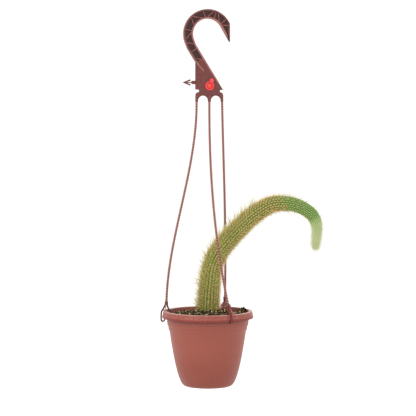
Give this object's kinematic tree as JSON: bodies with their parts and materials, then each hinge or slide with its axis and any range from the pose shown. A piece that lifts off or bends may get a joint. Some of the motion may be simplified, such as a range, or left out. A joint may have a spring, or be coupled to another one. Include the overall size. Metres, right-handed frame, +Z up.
{
  "type": "hanging pot with a monkey tail cactus",
  "caption": "Small plastic hanging pot on a one-piece moulded hook and strand hanger, filled with potting mix, with an arching monkey tail cactus whose tip hangs down.",
  "frame": {"origin": "crown of the hook's inside, where the hook rests on what holds it; the pot's axis runs straight down from here", "axes": "+Z up along the pot's axis, +X towards the side over which the plant arches, +Y away from the front"},
  "size_m": [0.199, 0.1108, 0.4571],
  "materials": {
    "pot_plastic": "injection-moulded terracotta-brown polypropylene, satin",
    "hanger_plastic": "injection-moulded dark red-brown polypropylene, satin",
    "button_plastic": "bright red moulded plastic, glossy",
    "potting_mix": "dark peat and bark crumbs with pale mineral grit, dull",
    "cactus_skin": "green ribbed skin under golden spines and pale hair, dull"
  },
  "bodies": {
    "root": {"pot": "pot_plastic", "soil": "potting_mix", "cactus": "cactus_skin", "hanger": "hanger_plastic", "left_strand": "hanger_plastic", "front_strand": "hanger_plastic", "back_strand": "hanger_plastic", "button": "button_plastic"}
  },
  "joints": []
}
